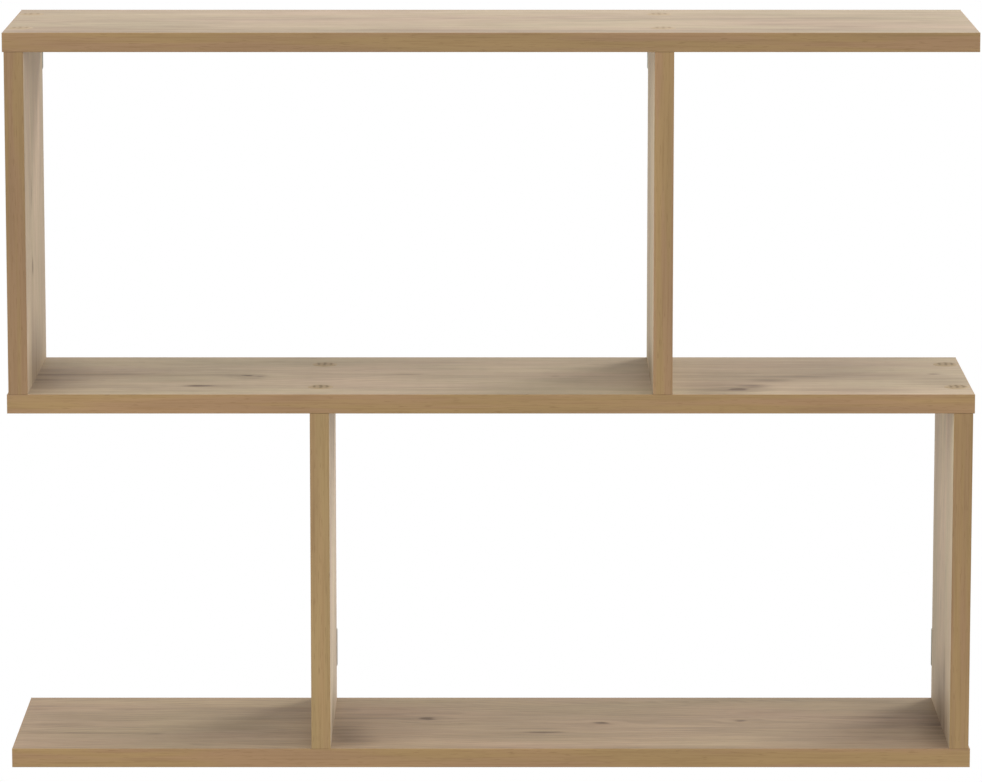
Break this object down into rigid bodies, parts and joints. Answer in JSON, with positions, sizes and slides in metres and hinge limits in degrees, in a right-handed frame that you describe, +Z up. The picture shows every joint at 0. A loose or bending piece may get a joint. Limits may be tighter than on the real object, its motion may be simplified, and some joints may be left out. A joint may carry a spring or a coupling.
{
  "type": "wall shelf",
  "caption": "Open oak-decor wall shelf with staggered uprights that make a closed and an open bay in each storey, screwed joints and keyhole hangers.",
  "frame": {"origin": "middle of the middle shelf's back edge, on the plane of the wall, at half the height of the boards", "axes": "+X along the shelves to the right as seen from the front, +Y into the wall, +Z up"},
  "size_m": [0.902, 0.22, 0.695],
  "materials": {
    "oak_decor_board": "matt oak decor paper on chipboard",
    "oak_edge_band": "matt fine-grained oak edge band",
    "screw_cover_foil": "matt oak foil",
    "zinc_plated_screw": "zinc plated",
    "zinc_plated_hanger": "zinc plated"
  },
  "bodies": {
    "root": {"top_shelf_board": "oak_decor_board", "middle_shelf_board": "oak_decor_board", "bottom_shelf_board": "oak_decor_board", "upper_left_upright_board": "oak_decor_board", "upper_right_upright_board": "oak_decor_board", "lower_left_upright_board": "oak_decor_board", "lower_right_upright_board": "oak_decor_board", "top_shelf_front_band": "oak_edge_band", "top_shelf_back_band": "oak_edge_band", "top_shelf_left_band": "oak_edge_band", "top_shelf_right_band": "oak_edge_band", "middle_shelf_front_band": "oak_edge_band", "middle_shelf_back_band": "oak_edge_band", "middle_shelf_left_band": "oak_edge_band", "middle_shelf_right_band": "oak_edge_band", "bottom_shelf_front_band": "oak_edge_band", "bottom_shelf_back_band": "oak_edge_band", "bottom_shelf_left_band": "oak_edge_band", "bottom_shelf_right_band": "oak_edge_band", "upper_left_upright_front_band": "oak_edge_band", "upper_left_upright_back_band": "oak_edge_band", "upper_right_upright_front_band": "oak_edge_band", "upper_right_upright_back_band": "oak_edge_band", "lower_left_upright_front_band": "oak_edge_band", "lower_left_upright_back_band": "oak_edge_band", "lower_right_upright_front_band": "oak_edge_band", "lower_right_upright_back_band": "oak_edge_band", "top_shelf_top_covers": "screw_cover_foil", "middle_shelf_top_covers": "screw_cover_foil", "middle_shelf_underside_covers": "screw_cover_foil", "bottom_shelf_underside_covers": "screw_cover_foil", "top_shelf_top_screws": "zinc_plated_screw", "middle_shelf_top_screws": "zinc_plated_screw", "middle_shelf_underside_screws": "zinc_plated_screw", "bottom_shelf_underside_screws": "zinc_plated_screw", "hanger_screws": "zinc_plated_screw", "hangers": "zinc_plated_hanger"}
  },
  "joints": []
}
